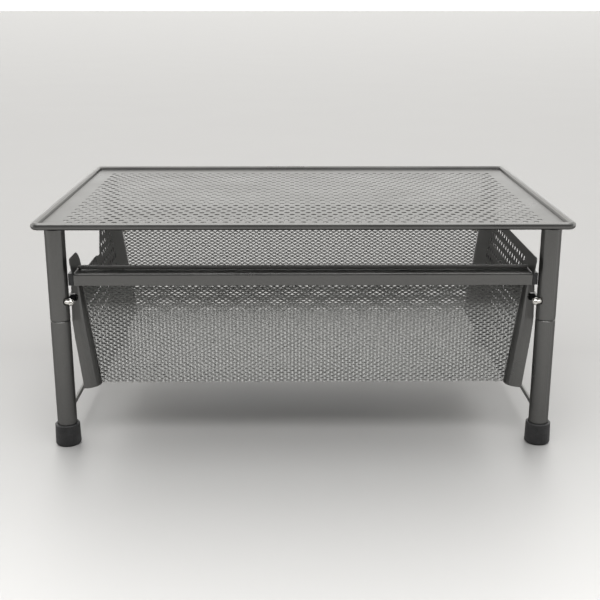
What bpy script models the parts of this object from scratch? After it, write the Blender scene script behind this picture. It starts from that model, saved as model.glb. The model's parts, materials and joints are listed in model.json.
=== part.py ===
"""Monitor riser stand: a perforated steel top in a round rim, on four tubular legs with plug-in
extensions, and a sheet and mesh basket drawer that slides forward on two side rails.

Metres, +Z up. +X is the stand's right-hand side, -Y its front. The origin is on the floor, in
the middle of the four feet.
"""

import math

import bmesh
import bpy
from mathutils import Matrix, Vector

# ---------------------------------------------------------------- driving dimensions
WIDTH = 0.4375
DEPTH = 0.2977
HEIGHT = 0.1957
GAP = 0.0003  # clearance kept between pieces that touch

RIM_DIAMETER = 0.006
RIM_CORNER_RADIUS = 0.0075  # of the rim's outer edge
TOP_THICKNESS = 0.0012
TOP_BELOW_RIM = 0.003

LEG_DIAMETER = 0.0164
LEG_WALL = 0.0012
LEG_X = 0.202
LEG_Y = 0.1322
LEG_SEAM_Z = 0.1111
FOOT_DIAMETER = 0.0216
FOOT_HEIGHT = 0.0187
FOOT_FLOOR = 0.004
SPIGOT_TOP_Z = 0.150
SPIGOT_WALL = 0.0012
SOCKET_DIAMETER = 0.0152

STRETCHER_DIAMETER = 0.0036
STRETCHER_Z = 0.0247

BUTTON_Z = 0.1276
BUTTON_DIAMETER = 0.0058
BUTTON_TURN = math.radians(30)  # how far each button is turned off the sideways direction
BUTTON_PROUD = 0.0071

DRAWER_Y0 = -0.1153  # plane of the front mesh
DRAWER_Y1 = 0.0971  # plane of the back mesh
DRAWER_Z0 = 0.0481
PANEL_TOP_Z = 0.1639
PANEL_X0 = 0.1747  # outer face of a side panel at the drawer's bottom
PANEL_LEAN = math.atan(0.138)  # from upright, leaning outwards
PANEL_THICKNESS = 0.001
MESH_THICKNESS = 0.0008
EAR_Y = -0.1385  # front end of the panels' upper ears
EAR_Z = 0.1509
BAR_ZONE_Y = -0.1092  # the panels' front edge behind the front bar
BAR_ZONE_Z = 0.1394
FLARE_BOTTOM_X = 0.1866  # outer edge of the front corner strips at the drawer's bottom
FLARE_LEAN = 0.120  # how much further out that edge is for each metre up
RELIEF_X = 0.1916  # the round notch in each corner strip that lets the drawer pass the buttons
RELIEF_RADIUS = 0.0036
NOTCH_FRONT_Y = -0.1028
NOTCH_REAR_Y = -0.0269
NOTCH_FLOOR_Z = 0.1436

BAR_FACE_Y = -0.1322
BAR_DEPTH = 0.0200
BAR_Z0 = 0.1401
BAR_Z1 = 0.1503
BAR_HALF_LENGTH = 0.189
BAR_THICKNESS = 0.0012
TOP_ROD_DIAMETER = 0.0038
TOP_ROD_HALF_LENGTH = 0.187
TOP_ROD_Y = -0.1191

CLEAR_X = 0.1935  # nothing on the drawer that passes the front legs reaches further out
RAIL_Z0 = 0.1175
RAIL_Z1 = 0.1255
RAIL_INNER_X = 0.1915
RAIL_OUTER_X = 0.1979
RAIL_WALL = 0.0010
RAIL_Y0 = -0.1058
RAIL_Y1 = 0.0986
RUNNER_OUTER_X = 0.1929
GLIDE_OUTER_X = 0.1962
GLIDE_LENGTH = 0.020
STOP_THICKNESS = 0.003
BRACKET_THICKNESS = 0.002
BRACKET_LAP = 0.025  # how far a bracket runs along its rail
SCREW_DIAMETER = 0.0030
SCREW_HEAD_DIAMETER = 0.0056
SCREW_HOLE_DIAMETER = 0.0036

# ---------------------------------------------------------------- worked out from them
RIM_R = RIM_DIAMETER / 2
LEG_R = LEG_DIAMETER / 2
TOP_Z = HEIGHT - TOP_BELOW_RIM
TOP_UNDERSIDE = TOP_Z - TOP_THICKNESS
SPIGOT_R = LEG_R - LEG_WALL - 0.0002
BORE_R = SPIGOT_R - SPIGOT_WALL
LEG_TOP_Z = TOP_UNDERSIDE - 0.0035
PANEL_SLOPE = math.tan(PANEL_LEAN)
SIDES = (("left", -1), ("right", 1))
CORNERS = tuple((f"{end}_{side}", sx, sy) for end, sy in (("front", -1), ("rear", 1)) for side, sx in SIDES)


def panel_x(z):
    """Outer face of a side panel at height z."""
    return PANEL_X0 + PANEL_SLOPE * (z - DRAWER_Z0)


def inner_half_width(z):
    """Half the room between the side panels at height z, less the gap to them."""
    return panel_x(z) - PANEL_THICKNESS / math.cos(PANEL_LEAN) - GAP


# ---------------------------------------------------------------- scene and materials
for old in list(bpy.data.objects):
    bpy.data.objects.remove(old, do_unlink=True)

stand = bpy.data.collections.new("monitor_riser_stand")
cutters = bpy.data.collections.new("cutters")
bpy.context.scene.collection.children.link(stand)
bpy.context.scene.collection.children.link(cutters)


def material(name, color, roughness, metallic):
    made = bpy.data.materials.new(name)
    made.use_nodes = True
    shader = made.node_tree.nodes["Principled BSDF"]
    shader.inputs["Base Color"].default_value = (*color, 1)
    shader.inputs["Roughness"].default_value = roughness
    shader.inputs["Metallic"].default_value = metallic
    return made


SILVER = material("silver_paint", (0.36, 0.36, 0.35), 0.36, 0.75)
MESH_PAINT = material("mesh_paint", (0.40, 0.40, 0.39), 0.42, 0.7)
RUBBER = material("black_rubber", (0.02, 0.02, 0.02), 0.75, 0.0)
ZINC = material("bright_zinc", (0.75, 0.74, 0.70), 0.18, 1.0)
SPRING_STEEL = material("spring_steel", (0.32, 0.33, 0.35), 0.3, 1.0)
NYLON = material("black_nylon", (0.03, 0.03, 0.03), 0.5, 0.0)


# ---------------------------------------------------------------- modelling helpers
def add_object(name, mesh, paint, collection=stand):
    obj = bpy.data.objects.new(name, mesh)
    collection.objects.link(obj)
    if paint:
        mesh.materials.append(paint)
    return obj


def smooth(mesh, degrees=35):
    mesh.shade_smooth()
    mesh.set_sharp_from_angle(angle=math.radians(degrees))


def box(name, low, high, paint, bevel=0.0):
    """An upright block between two corners, its edges rounded by bevel."""
    mesh = bpy.data.meshes.new(name)
    bm = bmesh.new()
    bmesh.ops.create_cube(bm, size=1.0)
    size = Vector(high) - Vector(low)
    bmesh.ops.scale(bm, vec=size, verts=bm.verts)
    bm.to_mesh(mesh)
    bm.free()
    obj = add_object(name, mesh, paint)
    obj.location = (Vector(low) + Vector(high)) / 2
    if bevel:
        edges = obj.modifiers.new("rounded_edges", "BEVEL")
        edges.width = bevel
        edges.segments = 2
    return obj


def mirrored_box(name, side, low, high, paint, bevel=0.0):
    """A block given for the right-hand side, placed on either side."""
    xs = sorted((side * low[0], side * high[0]))
    return box(name, (xs[0], low[1], low[2]), (xs[1], high[1], high[2]), paint, bevel)


def turned(name, profile, paint, steps=28):
    """A turned piece from a closed profile of (radius, height), run down its outer side first."""
    mesh = bpy.data.meshes.new(name)
    bm = bmesh.new()
    points = [bm.verts.new((radius, 0, height)) for radius, height in profile]
    on_axis = profile[0][0] == 0
    for a, b in zip(points, points[1:] + ([] if on_axis else points[:1])):
        bm.edges.new((a, b))
    bm.to_mesh(mesh)
    bm.free()
    obj = add_object(name, mesh, paint)
    screw = obj.modifiers.new("turn", "SCREW")
    screw.steps = screw.render_steps = steps
    screw.use_merge_vertices = True
    screw.merge_threshold = 0.00001
    screw.use_smooth_shade = True
    return obj


def arc(centre, radius, start, end, steps):
    """Points along an arc in the plane, angles in degrees."""
    angles = [math.radians(start + (end - start) * i / steps) for i in range(steps + 1)]
    return [(centre[0] + radius * math.cos(a), centre[1] + radius * math.sin(a)) for a in angles]


def rounded_rectangle(half_x, half_y, radius, steps):
    """Outline of a rectangle with round corners, anticlockwise."""
    points = []
    for quarter, (sx, sy) in enumerate(((1, 1), (-1, 1), (-1, -1), (1, -1))):
        centre = (sx * (half_x - radius), sy * (half_y - radius))
        points += arc(centre, radius, 90 * quarter, 90 * quarter + 90, steps)
    return points


def plate(name, outline, thickness, paint):
    """A flat plate from its outline in XY, with its mid-plane at z = 0."""
    curve = bpy.data.curves.new(name, "CURVE")
    curve.dimensions = "2D"
    curve.fill_mode = "BOTH"
    curve.extrude = thickness / 2
    spline = curve.splines.new("POLY")
    spline.points.add(len(outline) - 1)
    for point, (x, y) in zip(spline.points, outline):
        point.co = (x, y, 0, 1)
    spline.use_cyclic_u = True
    curve.materials.append(paint)
    obj = bpy.data.objects.new(name, curve)
    stand.objects.link(obj)
    return obj


def rod(name, points, diameter, paint, closed=False, resolution=3):
    """Round bar through the points."""
    curve = bpy.data.curves.new(name, "CURVE")
    curve.dimensions = "3D"
    curve.bevel_depth = diameter / 2
    curve.bevel_resolution = resolution
    curve.use_fill_caps = True
    spline = curve.splines.new("POLY")
    spline.points.add(len(points) - 1)
    for point, place in zip(spline.points, points):
        point.co = (*place, 1)
    spline.use_cyclic_u = closed
    curve.materials.append(paint)
    obj = bpy.data.objects.new(name, curve)
    stand.objects.link(obj)
    return obj


def ribbon(name, path, half_length, thickness, paint):
    """A strip of sheet metal bent along a path in YZ and as long as 2 * half_length along X."""
    mesh = bpy.data.meshes.new(name)
    bm = bmesh.new()
    rows = [[bm.verts.new((x, y, z)) for y, z in path] for x in (-half_length, half_length)]
    for i in range(len(path) - 1):
        bm.faces.new((rows[0][i], rows[1][i], rows[1][i + 1], rows[0][i + 1]))
    bm.to_mesh(mesh)
    bm.free()
    smooth(mesh)
    obj = add_object(name, mesh, paint)
    solid = obj.modifiers.new("sheet", "SOLIDIFY")
    solid.thickness = thickness
    solid.offset = 0
    solid.use_even_offset = True
    return obj


def cutter_cylinder(name, radius, length, place, direction, segments=24):
    """A hidden cylinder along a direction, for a Boolean cut."""
    mesh = bpy.data.meshes.new(name)
    bm = bmesh.new()
    bmesh.ops.create_cone(bm, cap_ends=True, segments=segments, radius1=radius, radius2=radius, depth=length)
    bm.to_mesh(mesh)
    bm.free()
    obj = add_object(name, mesh, None, cutters)
    obj.rotation_mode = "QUATERNION"
    obj.rotation_quaternion = Vector(direction).to_track_quat("Z", "Y")
    obj.location = place
    obj.hide_render = True
    obj.display_type = "WIRE"
    return obj


def cut(obj, cutter):
    modifier = obj.modifiers.new("cut_" + cutter.name, "BOOLEAN")
    modifier.operation = "DIFFERENCE"
    modifier.object = cutter


# ---------------------------------------------------------------- top
def make_top():
    """Steel sheet inside a bent round rim, with a flange and stub welded under each corner."""
    inset = RIM_DIAMETER + GAP
    outline = rounded_rectangle(WIDTH / 2 - inset, DEPTH / 2 - inset, RIM_CORNER_RADIUS - inset, 4)
    sheet = plate("top_sheet", outline, TOP_THICKNESS, SILVER)
    sheet.location.z = TOP_Z - TOP_THICKNESS / 2

    ring = rounded_rectangle(WIDTH / 2 - RIM_R, DEPTH / 2 - RIM_R, RIM_CORNER_RADIUS - RIM_R, 6)
    rod("top_rim", [(x, y, HEIGHT - RIM_R) for x, y in ring], RIM_DIAMETER, SILVER, closed=True)

    flange_r = SOCKET_DIAMETER / 2
    stub_r = LEG_R - LEG_WALL - GAP
    top = TOP_UNDERSIDE - GAP
    for name, sx, sy in CORNERS:
        profile = [
            (0, top),
            (flange_r - 0.0006, top),
            (flange_r, top - 0.0006),
            (flange_r, top - 0.0025),
            (stub_r, top - 0.0025),
            (stub_r, top - 0.0220),
            (stub_r - 0.0008, top - 0.0230),
            (0, top - 0.0230),
        ]
        stub = turned(f"leg_socket_{name}", profile, SILVER)
        stub.location = (sx * LEG_X, sy * LEG_Y, 0)


# ---------------------------------------------------------------- legs
def button_direction(sx, sy):
    """Which way a button points: inwards, turned towards the stand's nearer end."""
    return Vector((-sx * math.cos(BUTTON_TURN), sy * math.sin(BUTTON_TURN), 0))


def make_leg(name, sx, sy):
    place = Vector((sx * LEG_X, sy * LEG_Y, 0))
    outwards = button_direction(sx, sy)

    tube = turned(
        f"upper_leg_{name}",
        [
            (LEG_R, LEG_TOP_Z),
            (LEG_R, LEG_SEAM_Z + 0.0004),
            (LEG_R - 0.0004, LEG_SEAM_Z),
            (LEG_R - LEG_WALL, LEG_SEAM_Z),
            (LEG_R - LEG_WALL, LEG_TOP_Z),
        ],
        SILVER,
    )
    extension = turned(
        f"leg_extension_{name}",
        [
            (SPIGOT_R - 0.0005, SPIGOT_TOP_Z),
            (SPIGOT_R, SPIGOT_TOP_Z - 0.0010),
            (SPIGOT_R, LEG_SEAM_Z - GAP),
            (LEG_R - 0.0004, LEG_SEAM_Z - GAP),
            (LEG_R, LEG_SEAM_Z - GAP - 0.0004),
            (LEG_R, FOOT_FLOOR + GAP),
            (BORE_R, FOOT_FLOOR + GAP),
            (BORE_R, SPIGOT_TOP_Z),
        ],
        SILVER,
    )
    hole = cutter_cylinder(
        f"button_hole_{name}",
        BUTTON_DIAMETER / 2 + 0.0004,
        0.012,
        place + outwards * 0.009 + Vector((0, 0, BUTTON_Z)),
        outwards,
    )
    for piece in (tube, extension):
        piece.location = place
        cut(piece, hole)

    foot_r = FOOT_DIAMETER / 2
    foot = turned(
        f"foot_{name}",
        [
            (0, FOOT_FLOOR),
            (LEG_R + GAP, FOOT_FLOOR),
            (LEG_R + GAP, FOOT_HEIGHT),
            (foot_r - 0.0010, FOOT_HEIGHT),
            (foot_r - 0.0004, FOOT_HEIGHT - 0.0006),
            (foot_r, 0.0016),
            (foot_r - 0.0012, 0),
            (0, 0),
        ],
        RUBBER,
    )
    foot.location = place
    make_button(name, place, outwards)


def make_button(name, place, outwards):
    """Domed locking pin with a collar inside the tube, pushed out by a bent leaf."""
    radius = BUTTON_DIAMETER / 2
    collar_r = 0.0039
    collar = (0.0030, 0.0038)  # from the leg's axis
    tip = LEG_R + BUTTON_PROUD
    dome = [
        (radius * math.cos(a), tip - radius * 0.8 + radius * 0.8 * math.sin(a))
        for a in (math.radians(90 - 15 * i) for i in range(7))
    ]
    dome[0] = (0, tip)
    profile = dome + [(radius, collar[1]), (collar_r, collar[1]), (collar_r, collar[0]), (0, collar[0])]
    pin = turned(f"snap_button_{name}", profile, ZINC, steps=20)
    pin.rotation_mode = "QUATERNION"
    pin.rotation_quaternion = outwards.to_track_quat("Z", "Y")
    pin.location = place + Vector((0, 0, BUTTON_Z))

    # The leaf, drawn in a plane of its own: across from the leg's axis, and up from the pin.
    near, far, bend_down = 0.0026, -0.0040, 0.020
    middle, bend_r = (near + far) / 2, (near - far) / 2
    path = [(near, 0.0032), (near, -bend_down)]
    path += arc((middle, -bend_down), bend_r, 0, -180, 8)[1:]
    path += [(far, 0.0)]
    leaf = ribbon(f"button_spring_{name}", path, 0.0022, 0.0004, SPRING_STEEL)
    across = Vector((0, 0, 1)).cross(outwards)
    leaf.matrix_world = Matrix(
        (
            (across.x, outwards.x, 0, place.x),
            (across.y, outwards.y, 0, place.y),
            (0, 0, 1, BUTTON_Z),
            (0, 0, 0, 1),
        )
    )


def make_stretchers():
    """A thin round bar low down between the front and the rear leg on each side."""
    reach = LEG_Y - LEG_R - GAP
    for side, sx in SIDES:
        ends = [(sx * LEG_X, sy * reach, STRETCHER_Z) for sy in (-1, 1)]
        rod(f"side_stretcher_{side}", ends, STRETCHER_DIAMETER, SILVER)


# ---------------------------------------------------------------- rails
def make_rails():
    """C-section rails, open inwards, each held between its legs by two brackets and screws."""
    slot = RAIL_WALL / 2
    path = [
        (RAIL_INNER_X, RAIL_Z1 - slot),
        (RAIL_OUTER_X - slot, RAIL_Z1 - slot),
        (RAIL_OUTER_X - slot, RAIL_Z0 + slot),
        (RAIL_INNER_X, RAIL_Z0 + slot),
    ]
    leg_face_y = LEG_Y - LEG_R - GAP
    for side, sx in SIDES:
        rail = ribbon(f"drawer_rail_{side}", path, (RAIL_Y1 - RAIL_Y0) / 2, RAIL_WALL, SILVER)
        rail.rotation_euler.z = math.radians(-90 * sx)
        rail.location.y = (RAIL_Y0 + RAIL_Y1) / 2
        for end, sy, rail_end in (("front", -1, RAIL_Y0), ("rear", 1, RAIL_Y1)):
            make_rail_stop(f"rail_stop_{end}_{side}", sx, rail_end, sy)
            make_bracket(f"{end}_{side}", sx, rail_end, rail_end - sy * BRACKET_LAP, sy * leg_face_y, rail)


def make_rail_stop(name, sx, rail_end, sy):
    """Nylon plate across the end of a rail, where the drawer's glide or runner ends its travel."""
    overhang = 0.0006
    ys = sorted((rail_end + sy * GAP, rail_end + sy * (GAP + STOP_THICKNESS)))
    low = (CLEAR_X + GAP, ys[0], RAIL_Z0 - overhang)
    high = (RAIL_OUTER_X, ys[1], RAIL_Z1 + overhang)
    mirrored_box(name, sx, low, high, NYLON, 0.0004)


def make_bracket(place, sx, rail_end, lap_y, leg_y, rail):
    """Flat bracket outside the rail, welded to the leg, with its screw."""
    x = RAIL_OUTER_X + GAP
    ys = sorted((lap_y, leg_y))
    edge = 0.0006
    low = (x, ys[0], RAIL_Z0 + edge)
    high = (x + BRACKET_THICKNESS, ys[1], RAIL_Z1 - edge)
    bracket = mirrored_box(f"rail_bracket_{place}", sx, low, high, SILVER)
    at = Vector((sx * x, (rail_end + lap_y) / 2, (RAIL_Z0 + RAIL_Z1) / 2))
    hole = cutter_cylinder(f"screw_hole_{place}", SCREW_HOLE_DIAMETER / 2, 0.008, at, (sx, 0, 0))
    cut(bracket, hole)
    cut(rail, hole)
    make_screw(f"rail_screw_{place}", at, sx)


def make_screw(name, at, sx):
    """Dome-headed screw through the bracket into the rail's web."""
    head_r, shank_r = SCREW_HEAD_DIAMETER / 2, SCREW_DIAMETER / 2
    flatness = 0.55
    seat = BRACKET_THICKNESS + GAP
    end = -GAP - RAIL_WALL + 0.0001
    profile = [(x, seat + (z - seat) * flatness) for x, z in arc((0, seat), head_r, 90, 0, 5)]
    profile[0] = (0, seat + head_r * flatness)
    profile += [(shank_r, seat), (shank_r, end), (0, end)]
    screw = turned(name, profile, ZINC, steps=16)
    screw.rotation_euler.y = math.radians(90 * sx)
    screw.location = at


# ---------------------------------------------------------------- drawer
def up_panel(z):
    """Distance up a side panel's slope from the drawer's bottom to height z."""
    return (z - DRAWER_Z0) / math.cos(PANEL_LEAN)


def notch_outline(top):
    """The hand notch in a panel's top edge, from its rear to its front."""
    floor = up_panel(NOTCH_FLOOR_Z)
    rear_r, floor_r, hump_r = 0.008, 0.004, 0.013
    points = arc((NOTCH_REAR_Y + top - floor + rear_r, top - rear_r), rear_r, 90, 135, 3)
    for behind, below in ((0, 0.0032), (0.006, 0.0022), (0.013, 0.0008), (0.022, 0)):
        points.append((NOTCH_REAR_Y - behind, floor - below))
    points += arc((NOTCH_FRONT_Y + floor_r, floor + floor_r), floor_r, 270, 180, 3)
    points += arc((NOTCH_FRONT_Y - hump_r, top - hump_r), hump_r, 0, 90, 6)
    return points


def panel_outline(notched):
    """Outline of a side panel in its own plane: (y, distance up the slope)."""
    front, rear = DRAWER_Y0 + GAP, DRAWER_Y1 + 0.0020
    top = up_panel(PANEL_TOP_Z)
    rear_r, ear_top_r, ear_low_r = 0.004, 0.003, 0.002
    points = [(front, 0), (rear, 0)]
    points += arc((rear - rear_r, top - rear_r), rear_r, 0, 90, 4)
    if notched:
        points += notch_outline(top)
    points += arc((EAR_Y + ear_top_r, top - ear_top_r), ear_top_r, 90, 180, 3)
    points += arc((EAR_Y + ear_low_r, up_panel(EAR_Z) + ear_low_r), ear_low_r, 180, 270, 3)
    points += [(BAR_ZONE_Y, up_panel(EAR_Z)), (BAR_ZONE_Y, up_panel(BAR_ZONE_Z)), (front, up_panel(BAR_ZONE_Z))]
    return points


def make_side_panels():
    """Leaning side panels. The left one has a hand notch in its top edge."""
    for side, sx in SIDES:
        panel = plate(f"drawer_side_{side}", panel_outline(side == "left"), PANEL_THICKNESS, SILVER)
        along = Vector((0, 1, 0))
        up = Vector((sx * math.sin(PANEL_LEAN), 0, math.cos(PANEL_LEAN)))
        out = Vector((sx * math.cos(PANEL_LEAN), 0, -math.sin(PANEL_LEAN)))
        foot = Vector((sx * PANEL_X0, 0, DRAWER_Z0)) - out * PANEL_THICKNESS / 2
        axes = Matrix((along, up, along.cross(up))).transposed().to_4x4()
        panel.matrix_world = Matrix.Translation(foot) @ axes


def make_flares():
    """Front corner strips that sweep from the panels' front edge forwards and outwards."""
    steps, rows = 7, 6
    top = BAR_ZONE_Z - GAP
    for side, sx in SIDES:
        mesh = bpy.data.meshes.new(f"drawer_corner_{side}")
        bm = bmesh.new()
        bmesh.ops.create_grid(bm, x_segments=steps, y_segments=rows, size=0.5)
        for vert in bm.verts:
            turn = math.radians(90) * (vert.co.x + 0.5)
            z = DRAWER_Z0 + (top - DRAWER_Z0) * (vert.co.y + 0.5)
            inner_x = panel_x(z) - PANEL_THICKNESS / 2
            outer_x = min(FLARE_BOTTOM_X + FLARE_LEAN * (z - DRAWER_Z0), CLEAR_X)
            radius = outer_x - inner_x
            x = inner_x + radius * (1 - math.cos(turn))
            vert.co = (sx * x, DRAWER_Y0 - GAP - radius * math.sin(turn), z)
        if sx < 0:
            bmesh.ops.reverse_faces(bm, faces=bm.faces)
        bm.to_mesh(mesh)
        bm.free()
        smooth(mesh)
        flare = add_object(f"drawer_corner_{side}", mesh, SILVER)
        solid = flare.modifiers.new("sheet", "SOLIDIFY")
        solid.thickness = PANEL_THICKNESS
        solid.offset = 0
        at = (sx * RELIEF_X, DRAWER_Y0 - 0.008, BUTTON_Z)
        cut(flare, cutter_cylinder(f"button_relief_{side}", RELIEF_RADIUS, 0.030, at, (0, 1, 0)))


def upright_mesh(name, y, z0, z1):
    """A front or back mesh panel, wider at its top to meet the leaning sides."""
    corners = [(-inner_half_width(z0), z0), (inner_half_width(z0), z0)]
    corners += [(inner_half_width(z1), z1), (-inner_half_width(z1), z1)]
    panel = plate(name, corners, MESH_THICKNESS, MESH_PAINT)
    panel.rotation_euler.x = math.radians(90)
    panel.location.y = y


def make_basket_mesh():
    upright_mesh("drawer_front_mesh", DRAWER_Y0 + 0.0005, DRAWER_Z0 + 0.0003, BAR_Z1 - BAR_THICKNESS - GAP)
    upright_mesh("drawer_back_mesh", DRAWER_Y1, DRAWER_Z0 + 0.0003, PANEL_TOP_Z - 0.012)
    half = inner_half_width(DRAWER_Z0 + 0.0003)
    y0 = DRAWER_Y0 + 0.0005 + MESH_THICKNESS / 2 + GAP
    y1 = DRAWER_Y1 - MESH_THICKNESS / 2 - GAP
    floor = plate("drawer_bottom_mesh", [(-half, y0), (half, y0), (half, y1), (-half, y1)], MESH_THICKNESS, MESH_PAINT)
    floor.location.z = DRAWER_Z0 + 0.0003 + MESH_THICKNESS / 2


def make_front_bar():
    """Folded front bar, the rod on top of it, and the nylon caps that run between the legs."""
    half = BAR_THICKNESS / 2
    bend = 0.0012
    face_y, top_z = BAR_FACE_Y + half, BAR_Z1 - half
    path = [(face_y, BAR_Z0)]
    path += arc((face_y + bend, top_z - bend), bend, 180, 90, 3)
    path += [(BAR_FACE_Y + BAR_DEPTH, top_z)]
    ribbon("drawer_front_bar", path, BAR_HALF_LENGTH, BAR_THICKNESS, SILVER)

    rod_z = BAR_Z1 + GAP + TOP_ROD_DIAMETER / 2
    ends = [(sx * TOP_ROD_HALF_LENGTH, TOP_ROD_Y, rod_z) for _, sx in SIDES]
    rod("drawer_top_rod", ends, TOP_ROD_DIAMETER, SILVER)
    for side, sx in SIDES:
        mirrored_box(
            f"bar_end_cap_{side}",
            sx,
            (BAR_HALF_LENGTH + GAP, BAR_FACE_Y, BAR_Z0),
            (CLEAR_X, BAR_ZONE_Y - 0.0010, BAR_Z1),
            NYLON,
            0.0005,
        )


def make_back_bar():
    """Folded strip along the back mesh's top edge."""
    z0, z1 = PANEL_TOP_Z - 0.0117, PANEL_TOP_Z - 0.001
    box(
        "drawer_back_bar",
        (-inner_half_width(z0) + 0.0002, DRAWER_Y1 - 0.0016, z0),
        (inner_half_width(z0) - 0.0002, DRAWER_Y1 + 0.0016, z1),
        SILVER,
        0.0005,
    )


def make_runners():
    """Strips on the panels' outsides that slide in the rails, with a wider glide at the rear."""
    play = 0.0003
    z0, z1 = RAIL_Z0 + RAIL_WALL + play, RAIL_Z1 - RAIL_WALL - play
    inner_x = panel_x(z1) + GAP
    rear = DRAWER_Y1 + 0.0010
    for side, sx in SIDES:
        low, high = (inner_x, BAR_ZONE_Y, z0), (RUNNER_OUTER_X, rear, z1)
        mirrored_box(f"drawer_runner_{side}", sx, low, high, SILVER, 0.0004)
        low, high = (RUNNER_OUTER_X + GAP, rear - GLIDE_LENGTH, z0), (GLIDE_OUTER_X, rear, z1)
        mirrored_box(f"rear_glide_{side}", sx, low, high, NYLON, 0.0006)


make_top()
for corner in CORNERS:
    make_leg(*corner)
make_stretchers()
make_rails()
make_side_panels()
make_flares()
make_basket_mesh()
make_front_bar()
make_back_bar()
make_runners()
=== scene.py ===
"""Looks of the monitor riser stand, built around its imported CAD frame.

Metres, +Z up, in the CAD's own frame: +X is the stand's right-hand side, -Y its front.
"""

import json
import math

import bmesh
import bpy
from mathutils import Matrix, Vector


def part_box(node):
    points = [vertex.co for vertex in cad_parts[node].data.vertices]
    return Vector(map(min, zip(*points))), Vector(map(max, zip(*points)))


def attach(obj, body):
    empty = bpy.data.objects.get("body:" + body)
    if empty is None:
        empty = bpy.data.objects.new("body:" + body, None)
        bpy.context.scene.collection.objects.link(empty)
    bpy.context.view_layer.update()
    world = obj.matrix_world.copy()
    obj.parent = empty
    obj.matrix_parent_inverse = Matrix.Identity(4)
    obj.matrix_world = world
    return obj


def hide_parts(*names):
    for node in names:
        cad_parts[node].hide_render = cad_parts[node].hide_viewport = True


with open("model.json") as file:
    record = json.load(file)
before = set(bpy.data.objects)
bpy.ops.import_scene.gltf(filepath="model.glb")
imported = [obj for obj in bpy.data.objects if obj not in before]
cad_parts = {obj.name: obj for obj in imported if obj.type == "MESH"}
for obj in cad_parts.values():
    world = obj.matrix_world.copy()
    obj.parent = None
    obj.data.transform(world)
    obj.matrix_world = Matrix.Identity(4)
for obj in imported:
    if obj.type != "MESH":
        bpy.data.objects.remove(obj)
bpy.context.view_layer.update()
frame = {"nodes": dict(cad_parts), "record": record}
NODES = frame["nodes"]
SIDES = (("left", -1), ("right", 1))

# ---------------------------------------------------------------- sizes of the fine detail
SHEET_THICKNESS = 0.0005
HOLE_SIDES = 14
ROW_RATIO = math.sin(math.radians(60))  # row step over hole pitch, in a 60 degree stagger
TOP_HOLE_PITCH = 0.00904  # along X
TOP_HOLE_RADIUS = 0.0023
TOP_HOLE_COLUMNS = 43
TOP_HOLE_ROWS = 32
TOP_FIELD_FRONT_Y = -0.1300
SIDE_HOLE_PITCH = 0.0092
SIDE_HOLE_RADIUS = 0.0023
SIDE_MARGIN = 0.0095  # from the top and bottom edges to the nearest row of holes
SIDE_WEB = 0.0035  # least metal between a hole and the panel's outline
SIDE_FIELD_START = -0.020  # before the panel's lower front corner, so that the ear has holes too
SIDE_FIELD_REAR_Y = 0.0400

DIAMOND_LONG = 0.0062  # expanded metal, bond to bond along X
DIAMOND_SHORT = 0.0036
STRAND_WIDTH = 0.00095
STRAND_THICKNESS = 0.0004
BOND_LENGTH = 0.0011
UPRIGHT_TILT = 0.7  # how steeply the strands are twisted out of the front and back panels
FLAT_TILT = 0.5  # the same for the bottom panel

FACING = 0.9  # least cosine between a face's normal and the side it belongs to
MERGE_DISTANCE = 0.000001


# ---------------------------------------------------------------- materials
def new_material(name):
    made = bpy.data.materials.new(name)
    made.use_nodes = True
    nodes, links = made.node_tree.nodes, made.node_tree.links
    shader = nodes["Principled BSDF"]
    coordinates = nodes.new("ShaderNodeTexCoord")
    return made, nodes, links, shader, coordinates.outputs["Object"]


def noise(nodes, links, where, scale, detail=2.0, roughness=0.5):
    made = nodes.new("ShaderNodeTexNoise")
    made.inputs["Scale"].default_value = scale
    made.inputs["Detail"].default_value = detail
    made.inputs["Roughness"].default_value = roughness
    links.new(where, made.inputs["Vector"])
    return made.outputs["Fac"]


def ramp(nodes, links, factor, low, high, start=0.3, end=0.7):
    """A colour that runs from low to high as factor runs from start to end."""
    made = nodes.new("ShaderNodeValToRGB")
    made.color_ramp.elements[0].position = start
    made.color_ramp.elements[1].position = end
    made.color_ramp.elements[0].color = (*low, 1)
    made.color_ramp.elements[1].color = (*high, 1)
    links.new(factor, made.inputs["Fac"])
    return made.outputs["Color"]


def span(nodes, links, factor, low, high, start=0.3, end=0.7):
    """A number that runs from low to high as factor runs from start to end."""
    made = nodes.new("ShaderNodeMapRange")
    made.inputs["From Min"].default_value = start
    made.inputs["From Max"].default_value = end
    made.inputs["To Min"].default_value = low
    made.inputs["To Max"].default_value = high
    links.new(factor, made.inputs["Value"])
    return made.outputs["Result"]


def bump(nodes, links, shader, height, strength, distance):
    made = nodes.new("ShaderNodeBump")
    made.inputs["Strength"].default_value = strength
    made.inputs["Distance"].default_value = distance
    links.new(height, made.inputs["Height"])
    links.new(made.outputs["Normal"], shader.inputs["Normal"])


def multiply_add(nodes, links, value, factor, addend):
    """value * factor + addend, where factor is a number."""
    made = nodes.new("ShaderNodeMath")
    made.operation = "MULTIPLY_ADD"
    made.inputs[1].default_value = factor
    links.new(value, made.inputs[0])
    links.new(addend, made.inputs[2])
    return made.outputs["Value"]


def scaled(color, by):
    return tuple(min(1, c * by) for c in color)


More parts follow.
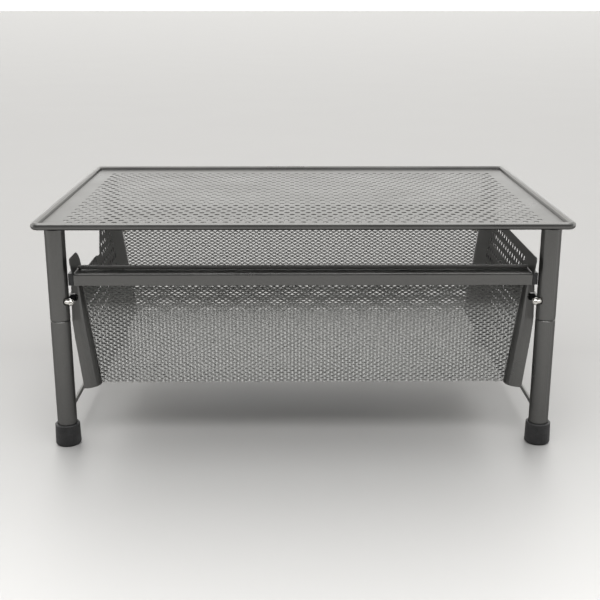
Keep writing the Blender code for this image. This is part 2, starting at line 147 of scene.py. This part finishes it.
def metallic_paint(name, color, metallic, roughness):
    """Satin paint with aluminium flake: a fine sparkle, soft clouding and a faint orange peel."""
    made, nodes, links, shader, where = new_material(name)
    flake = noise(nodes, links, where, scale=2600, detail=1.0)
    cloud = noise(nodes, links, where, scale=18, detail=3.0)
    mixed = nodes.new("ShaderNodeMix")
    mixed.inputs["Factor"].default_value = 0.35
    links.new(flake, mixed.inputs["A"])
    links.new(cloud, mixed.inputs["B"])
    shade = ramp(nodes, links, mixed.outputs["Result"], low=scaled(color, 0.86), high=scaled(color, 1.14))
    links.new(shade, shader.inputs["Base Color"])
    sheen = span(nodes, links, cloud, low=roughness - 0.04, high=roughness + 0.05)
    links.new(sheen, shader.inputs["Roughness"])
    shader.inputs["Metallic"].default_value = metallic
    shader.inputs["Specular Tint"].default_value = (0.45, 0.45, 0.45, 1)
    peel = noise(nodes, links, where, scale=700, detail=2.0)
    bump(nodes, links, shader, peel, strength=0.12, distance=0.0002)
    return made


def rubber(name):
    made, nodes, links, shader, where = new_material(name)
    grain = noise(nodes, links, where, scale=1500, detail=3.0)
    dust = noise(nodes, links, where, scale=120, detail=4.0, roughness=0.6)
    shade = ramp(nodes, links, dust, low=(0.012, 0.012, 0.012), high=(0.028, 0.028, 0.029))
    links.new(shade, shader.inputs["Base Color"])
    links.new(span(nodes, links, grain, low=0.55, high=0.8), shader.inputs["Roughness"])
    bump(nodes, links, shader, grain, strength=0.3, distance=0.0002)
    return made


def nylon(name):
    made, nodes, links, shader, where = new_material(name)
    grain = noise(nodes, links, where, scale=900, detail=2.0)
    shade = ramp(nodes, links, grain, low=(0.020, 0.020, 0.021), high=(0.034, 0.034, 0.035))
    links.new(shade, shader.inputs["Base Color"])
    links.new(span(nodes, links, grain, low=0.38, high=0.55), shader.inputs["Roughness"])
    bump(nodes, links, shader, grain, strength=0.15, distance=0.0002)
    return made


def plated(name, color, roughness):
    """Zinc plate or bare spring steel, with light scuffs and a faint change of tint."""
    made, nodes, links, shader, where = new_material(name)
    scuff = noise(nodes, links, where, scale=900, detail=4.0, roughness=0.7)
    tint = noise(nodes, links, where, scale=90, detail=2.0)
    links.new(ramp(nodes, links, tint, low=scaled(color, 0.9), high=color), shader.inputs["Base Color"])
    sheen = span(nodes, links, scuff, low=roughness * 0.7, high=roughness * 1.5)
    links.new(sheen, shader.inputs["Roughness"])
    shader.inputs["Metallic"].default_value = 1.0
    bump(nodes, links, shader, scuff, strength=0.08, distance=0.0001)
    return made


def floor_paint_with_painted_shade(name):
    """Pale in front of the object, running softly to a light grey behind it: the grey behind is painted shade,
    standing in for the shade that falls behind the object, under a faint random mottle.
    """
    made, nodes, links, shader, where = new_material(name)
    tone = noise(nodes, links, where, scale=3, detail=3.0)
    parts = nodes.new("ShaderNodeSeparateXYZ")
    links.new(where, parts.inputs["Vector"])
    # painted shade: the floor's colour ramps from its pale tone in front to a darker grey behind the object,
    # where the shade falls
    back = span(nodes, links, parts.outputs["Y"], low=0.0, high=0.95, start=-0.40, end=0.10)
    mottle_and_painted_shade = multiply_add(nodes, links, tone, 0.05, back)
    # the second colour is painted shade, not a different floor colour
    front_color, painted_shade_color = (0.45, 0.448, 0.443), (0.205, 0.202, 0.198)
    shade = ramp(nodes, links, mottle_and_painted_shade, low=front_color, high=painted_shade_color, start=0.0, end=1.0)
    links.new(shade, shader.inputs["Base Color"])
    shader.inputs["Roughness"].default_value = 0.55
    return made


FINISHES = {
    "silver_paint": metallic_paint("silver_paint_satin", (0.145, 0.144, 0.140), metallic=0.93, roughness=0.30),
    "mesh_paint": metallic_paint("mesh_paint_satin", (0.38, 0.38, 0.37), metallic=0.6, roughness=0.50),
    "rubber": rubber("black_rubber_matt"),
    "nylon": nylon("black_nylon_moulded"),
    "bright_zinc": plated("zinc_plate", (0.80, 0.78, 0.74), roughness=0.16),
    "spring_steel": plated("spring_steel_bare", (0.34, 0.35, 0.37), roughness=0.30),
}
SLOT_OF = {part["node"]: part["material_slot"] for part in frame["record"]["subparts"]}
for node_name, node in NODES.items():
    node.data.materials.clear()
    node.data.materials.append(FINISHES[SLOT_OF[node_name]])


# ---------------------------------------------------------------- helpers
def add_piece(name, data, body, node, place):
    """A new piece that rides on body, replaces the CAD node and takes its finish from the node's slot."""
    obj = bpy.data.objects.new(name, data)
    bpy.context.scene.collection.objects.link(obj)
    obj.matrix_world = place
    slot = SLOT_OF[node]
    data.materials.append(FINISHES[slot])
    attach(obj, body)
    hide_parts(node)
    return obj


def face_outline(node, normal):
    """The outline of a CAD plate's face on the side that normal points to, as points in order."""
    bm = bmesh.new()
    bm.from_mesh(NODES[node].data)
    bmesh.ops.remove_doubles(bm, verts=bm.verts, dist=MERGE_DISTANCE)
    chosen = {face for face in bm.faces if face.normal.dot(normal) > FACING}
    edges = [e for e in bm.edges if sum(f in chosen for f in e.link_faces) == 1]
    beside = {}
    for edge in edges:
        a, b = edge.verts
        beside.setdefault(a, []).append(b)
        beside.setdefault(b, []).append(a)
    start = edges[0].verts[0]
    loop, before = [start], None
    while True:
        ahead = [v for v in beside[loop[-1]] if v is not before]
        before = loop[-1]
        if ahead[0] is start or len(loop) > len(edges):
            break
        loop.append(ahead[0])
    points = [v.co.copy() for v in loop]
    bm.free()
    return points


def inside(point, outline):
    """Whether a point in the plane lies inside the outline."""
    px, py = point
    found = False
    for (x0, y0), (x1, y1) in zip(outline, outline[1:] + outline[:1]):
        if (y0 > py) != (y1 > py) and px < x0 + (x1 - x0) * (py - y0) / (y1 - y0):
            found = not found
    return found


def distance_to(point, outline):
    """How far a point in the plane is from the outline."""
    p = Vector(point)
    distances = []
    for a, b in zip(outline, outline[1:] + outline[:1]):
        a, b = Vector(a), Vector(b)
        along = b - a
        t = max(0.0, min(1.0, (p - a).dot(along) / max(along.length_squared, 1e-12)))
        distances.append((a + along * t - p).length)
    return min(distances)


def punched_sheet(outline, holes, radius):
    """A flat sheet in XY, with round holes through it, as a mesh with its mid-plane at z = 0."""
    curve = bpy.data.curves.new("punched", "CURVE")
    curve.dimensions = "2D"
    curve.fill_mode = "BOTH"
    curve.extrude = SHEET_THICKNESS / 2
    turns = [2 * math.pi * i / HOLE_SIDES for i in range(HOLE_SIDES)]
    circle = [(radius * math.cos(turn), radius * math.sin(turn)) for turn in turns]
    rings = [outline] + [[(x + dx, y + dy) for dx, dy in circle] for x, y in holes]
    for ring in rings:
        spline = curve.splines.new("POLY")
        spline.points.add(len(ring) - 1)
        for point, (x, y) in zip(spline.points, ring):
            point.co = (x, y, 0, 1)
        spline.use_cyclic_u = True
    helper = bpy.data.objects.new("punched", curve)
    bpy.context.scene.collection.objects.link(helper)
    bpy.context.view_layer.update()
    graph = bpy.context.evaluated_depsgraph_get()
    mesh = bpy.data.meshes.new_from_object(helper.evaluated_get(graph))
    bpy.data.objects.remove(helper, do_unlink=True)
    bm = bmesh.new()
    bm.from_mesh(mesh)
    bmesh.ops.remove_doubles(bm, verts=bm.verts, dist=MERGE_DISTANCE)
    bmesh.ops.recalc_face_normals(bm, faces=bm.faces)
    bm.to_mesh(mesh)
    bm.free()
    mesh.materials.clear()
    mesh.shade_smooth()
    mesh.set_sharp_from_angle(angle=math.radians(40))
    return mesh


# ---------------------------------------------------------------- perforated sheets
def make_top_sheet():
    outline = [(p.x, p.y) for p in face_outline("top_sheet", Vector((0, 0, 1)))]
    holes = []
    for row in range(TOP_HOLE_ROWS):
        y = TOP_FIELD_FRONT_Y + row * TOP_HOLE_PITCH * ROW_RATIO
        columns = TOP_HOLE_COLUMNS + row % 2
        holes += [((column - (columns - 1) / 2) * TOP_HOLE_PITCH, y) for column in range(columns)]
    mesh = punched_sheet(outline, holes, TOP_HOLE_RADIUS)
    top_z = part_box("top_sheet")[1].z
    place = Matrix.Translation((0, 0, top_z - SHEET_THICKNESS / 2))
    add_piece("perforated_top", mesh, "frame", "top_sheet", place)


def side_holes(outline, u_end):
    """Rows of holes in a side panel's plane, from its top edge down. u runs rearwards and v up the slope."""
    holes = []
    v = max(v for _, v in outline) - SIDE_MARGIN
    row = 0
    while v > SIDE_MARGIN:
        u = SIDE_FIELD_START + 0.5 * SIDE_HOLE_PITCH * (row % 2)
        while u < u_end:
            if inside((u, v), outline) and distance_to((u, v), outline) > SIDE_HOLE_RADIUS + SIDE_WEB:
                holes.append((u, v))
            u += SIDE_HOLE_PITCH
        v -= SIDE_HOLE_PITCH * ROW_RATIO
        row += 1
    return holes


def make_side_sheet(side, sx):
    """A leaning side panel with rows of holes that run from front to rear."""
    node = f"drawer_side_{side}"
    normals = [p.normal.copy() for p in NODES[node].data.polygons if p.normal.x * sx > FACING]
    outwards = max(normals, key=lambda n: n.x * sx).normalized()
    along = Vector((0, 1, 0))
    up = Vector((sx * abs(outwards.z), 0, abs(outwards.x)))
    points = face_outline(node, outwards)
    origin = min(points, key=lambda p: (round(p.z, 4), p.y))
    outline = [((p - origin).dot(along), (p - origin).dot(up)) for p in points]
    mesh = punched_sheet(outline, side_holes(outline, SIDE_FIELD_REAR_Y - origin.y), SIDE_HOLE_RADIUS)
    axes = Matrix((along, up, along.cross(up))).transposed().to_4x4()
    place = Matrix.Translation(origin - outwards * SHEET_THICKNESS / 2) @ axes
    add_piece(f"perforated_side_{side}", mesh, "drawer", node, place)


# ---------------------------------------------------------------- expanded metal
def expanded_sheet(half_width, length, tilt):
    """Expanded metal in XY from y = 0 to length, as zigzag strands cut to |x| <= half_width(y)."""
    rows = round(length / (DIAMOND_SHORT / 2))
    step_v = length / rows
    step_u = DIAMOND_LONG / 2
    twist = STRAND_WIDTH * tilt
    columns = math.ceil(max(half_width(0), half_width(length)) / step_u)
    places, faces, known = [], [], {}

    def vertex(u, v, out):
        limit = half_width(v)
        u = max(-limit, min(limit, u))
        key = (round(u, 6), round(v, 6), round(out, 6))
        if key not in known:
            known[key] = len(places)
            places.append((u, v, out))
        return known[key]

    for row in range(rows):
        below, above = row * step_v, (row + 1) * step_v
        strand = []
        for column in range(-columns, columns + 1):
            valley = (column + row) % 2 == 0
            for side in (-0.5, 0.5):
                u = column * step_u + side * BOND_LENGTH
                if valley:
                    strand.append((vertex(u, below, 0), vertex(u, below + STRAND_WIDTH, twist)))
                else:
                    strand.append((vertex(u, above - STRAND_WIDTH, -twist), vertex(u, above, 0)))
        for (a, b), (c, d) in zip(strand, strand[1:]):
            if len({a, b, c, d}) == 4:
                faces.append([a, c, d, b])
    mesh = bpy.data.meshes.new("expanded")
    mesh.from_pydata(places, [], faces)
    mesh.validate()
    return mesh


def add_expanded(name, mesh, node, place):
    obj = add_piece(name, mesh, "drawer", node, place)
    solid = obj.modifiers.new("strand_thickness", "SOLIDIFY")
    solid.thickness = STRAND_THICKNESS
    solid.offset = 0


def make_upright_mesh(end):
    """The front or back panel, wider at its top to meet the leaning sides."""
    node = f"drawer_{end}_mesh"
    low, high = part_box(node)
    height = high.z - low.z
    points = [v.co for v in NODES[node].data.vertices]
    at_bottom = max(p.x for p in points if p.z < low.z + 0.001)
    at_top = max(p.x for p in points if p.z > high.z - 0.001)
    mesh = expanded_sheet(lambda v: at_bottom + (at_top - at_bottom) * v / height, height, -UPRIGHT_TILT)
    upright = Matrix.Rotation(math.radians(90), 4, "X")
    place = Matrix.Translation((0, (low.y + high.y) / 2, low.z)) @ upright
    add_expanded(f"expanded_{end}_mesh", mesh, node, place)


def make_bottom_mesh():
    node = "drawer_bottom_mesh"
    low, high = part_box(node)
    mesh = expanded_sheet(lambda v: high.x, high.y - low.y, -FLAT_TILT)
    add_expanded("expanded_bottom_mesh", mesh, node, Matrix.Translation((0, low.y, (low.z + high.z) / 2)))


make_top_sheet()
for side_name, side_sign in SIDES:
    make_side_sheet(side_name, side_sign)
make_upright_mesh("front")
make_upright_mesh("back")
make_bottom_mesh()


# ---------------------------------------------------------------- camera, floor and light
def make_camera():
    """The viewing angle: from in front, a little above, turned a touch to the right."""
    place = Vector((-0.0095, -0.9328, 0.3628))
    pitch, yaw, roll = math.radians(16.381), math.radians(0.479), math.radians(0.011)
    forward = Vector((math.sin(yaw) * math.cos(pitch), math.cos(yaw) * math.cos(pitch), -math.sin(pitch)))
    level = Vector((math.cos(yaw), -math.sin(yaw), 0))
    upright = level.cross(forward)
    right = level * math.cos(roll) + upright * math.sin(roll)
    up = upright * math.cos(roll) - level * math.sin(roll)
    data = bpy.data.cameras.new("camera")
    data.sensor_width = 36.0
    data.lens = 60.43
    data.clip_start = 0.01
    camera = bpy.data.objects.new("camera", data)
    bpy.context.scene.collection.objects.link(camera)
    camera.matrix_world = Matrix.Translation(place) @ Matrix((right, up, -forward)).transposed().to_4x4()
    bpy.context.scene.camera = camera


def make_floor():
    mesh = bpy.data.meshes.new("floor")
    bm = bmesh.new()
    bmesh.ops.create_grid(bm, x_segments=1, y_segments=1, size=60.0)
    bm.to_mesh(mesh)
    bm.free()
    mesh.materials.append(floor_paint_with_painted_shade("pale_floor_painted_shade"))
    floor = bpy.data.objects.new("floor", mesh)
    bpy.context.scene.collection.objects.link(floor)


def softbox(name, place, width, height, watts):
    """A rectangular lamp aimed at the middle of the object."""
    data = bpy.data.lights.new(name, "AREA")
    data.shape = "RECTANGLE"
    data.size, data.size_y = width, height
    data.energy = watts
    lamp = bpy.data.objects.new(name, data)
    bpy.context.scene.collection.objects.link(lamp)
    lamp.location = place
    aim = Vector((0, 0, 0.10)) - Vector(place)
    lamp.rotation_euler = aim.to_track_quat("-Z", "Y").to_euler()


def make_world():
    """A studio that is bright behind the object, softer overhead and dim on the camera's side."""
    world = bpy.data.worlds.new("studio")
    bpy.context.scene.world = world
    world.use_nodes = True
    nodes, links = world.node_tree.nodes, world.node_tree.links
    direction = nodes.new("ShaderNodeTexCoord").outputs["Generated"]
    parts = nodes.new("ShaderNodeSeparateXYZ")
    links.new(direction, parts.inputs["Vector"])
    behind = span(nodes, links, parts.outputs["Y"], low=0.12, high=3.25, start=0.1, end=0.8)
    above = span(nodes, links, parts.outputs["Z"], low=0.0, high=0.7, start=0.3, end=1.0)
    total = nodes.new("ShaderNodeMath")
    total.operation = "ADD"
    links.new(behind, total.inputs[0])
    links.new(above, total.inputs[1])
    links.new(total.outputs["Value"], nodes["Background"].inputs["Strength"])
    nodes["Background"].inputs["Color"].default_value = (1.0, 0.99, 0.97, 1)


make_camera()
make_floor()
make_world()
softbox("top_softbox", (0, -0.2, 2.0), width=1.9, height=1.0, watts=16)
softbox("front_high_softbox", (0, -1.05, 1.8), width=2.0, height=0.9, watts=23)
softbox("left_softbox", (-1.6, 0.1, 0.5), width=1.6, height=0.8, watts=7)
softbox("right_softbox", (1.6, 0.1, 0.5), width=1.6, height=0.8, watts=7)
bpy.context.scene.view_settings.view_transform = "Standard"
